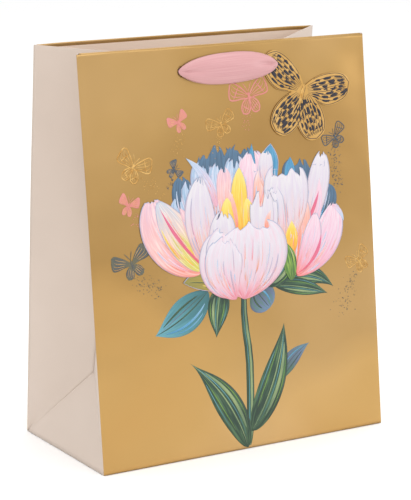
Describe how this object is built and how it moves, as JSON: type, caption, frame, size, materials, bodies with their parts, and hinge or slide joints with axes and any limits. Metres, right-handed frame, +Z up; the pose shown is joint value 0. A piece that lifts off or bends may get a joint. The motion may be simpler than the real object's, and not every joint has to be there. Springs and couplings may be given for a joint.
{
  "type": "gift bag",
  "caption": "Gusseted paper gift bag with leaning panels, stiffened hems, satin ribbon handles that draw up, and a butterfly gift tag.",
  "frame": {"origin": "centre of the base, on the table", "axes": "+Z up, -Y out of the front panel, +X to the right seen from the front"},
  "size_m": [0.265, 0.14, 0.3286],
  "materials": {
    "gold_foil_paper": "satin gold foil",
    "blush_paper": "smooth, faint pearl",
    "grey_board": "matte",
    "satin_ribbon": "satin",
    "tag_card": "satin gold foil with dark print"
  },
  "bodies": {
    "base": {"bottom_rear_flap": "blush_paper", "bottom_front_flap": "blush_paper", "bottom_left_flap": "blush_paper", "bottom_right_flap": "blush_paper", "base_card": "grey_board", "left_gusset_foot": "blush_paper", "left_gusset_front": "blush_paper", "left_gusset_rear": "blush_paper", "right_gusset_foot": "blush_paper", "right_gusset_front": "blush_paper", "right_gusset_rear": "blush_paper", "left_gusset_front_hem": "blush_paper", "left_gusset_rear_hem": "blush_paper", "right_gusset_front_hem": "blush_paper", "right_gusset_rear_hem": "blush_paper"},
    "front_wall": {"front_panel": "gold_foil_paper", "front_hem": "blush_paper", "front_hem_board": "grey_board", "front_left_gather": "satin_ribbon", "front_right_gather": "satin_ribbon", "front_left_tail": "satin_ribbon", "front_right_tail": "satin_ribbon"},
    "back_wall": {"back_panel": "gold_foil_paper", "back_hem": "blush_paper", "back_hem_board": "grey_board", "back_seam_flap": "blush_paper", "back_left_gather": "satin_ribbon", "back_right_gather": "satin_ribbon", "back_left_tail": "satin_ribbon", "back_right_tail": "satin_ribbon"},
    "front_handle": {"front_ribbon": "satin_ribbon"},
    "front_knots": {"front_left_knot": "satin_ribbon", "front_right_knot": "satin_ribbon"},
    "back_handle": {"back_ribbon": "satin_ribbon"},
    "back_knots": {"back_left_knot": "satin_ribbon", "back_right_knot": "satin_ribbon"},
    "tag": {"butterfly_tag": "tag_card"}
  },
  "joints": [
    {"name": "front_wall_lean", "type": "hinge", "parent": "base", "child": "front_wall", "pos_m": [0, -0.07, 0], "axis": [-1, 0, 0], "range_deg": [-5.2, 5.5], "deforming": ["left_gusset_front", "right_gusset_front", "left_gusset_front_hem", "right_gusset_front_hem"]},
    {"name": "back_wall_lean", "type": "hinge", "parent": "base", "child": "back_wall", "pos_m": [0, 0.07, 0], "axis": [1, 0, 0], "range_deg": [-5.2, 5.5], "deforming": ["left_gusset_rear", "right_gusset_rear", "left_gusset_rear_hem", "right_gusset_rear_hem"]},
    {"name": "front_handle_draw", "type": "slide", "parent": "front_wall", "child": "front_handle", "axis": [0, 0.0909, 0.9959], "range_m": [0, 0.147]},
    {"name": "front_knots_rise", "type": "slide", "parent": "front_wall", "child": "front_knots", "axis": [0, 0, 1], "range_m": [0, 0.1475], "deforming": ["front_left_tail", "front_right_tail"]},
    {"name": "back_handle_draw", "type": "slide", "parent": "back_wall", "child": "back_handle", "axis": [0, -0.0909, 0.9959], "range_m": [0, 0.147]},
    {"name": "back_knots_rise", "type": "slide", "parent": "back_wall", "child": "back_knots", "axis": [0, 0, 1], "range_m": [0, 0.1475], "deforming": ["back_left_tail", "back_right_tail"]},
    {"name": "tag_swing", "type": "hinge", "parent": "front_wall", "child": "tag", "pos_m": [0.043, -0.04182, 0.30872], "axis": [0, 0.9959, -0.0909], "continuous": true}
  ],
  "couplings": [
    {"joint": "front_knots_rise", "follows": "front_handle_draw", "ratio": 1},
    {"joint": "back_knots_rise", "follows": "back_handle_draw", "ratio": 1}
  ]
}
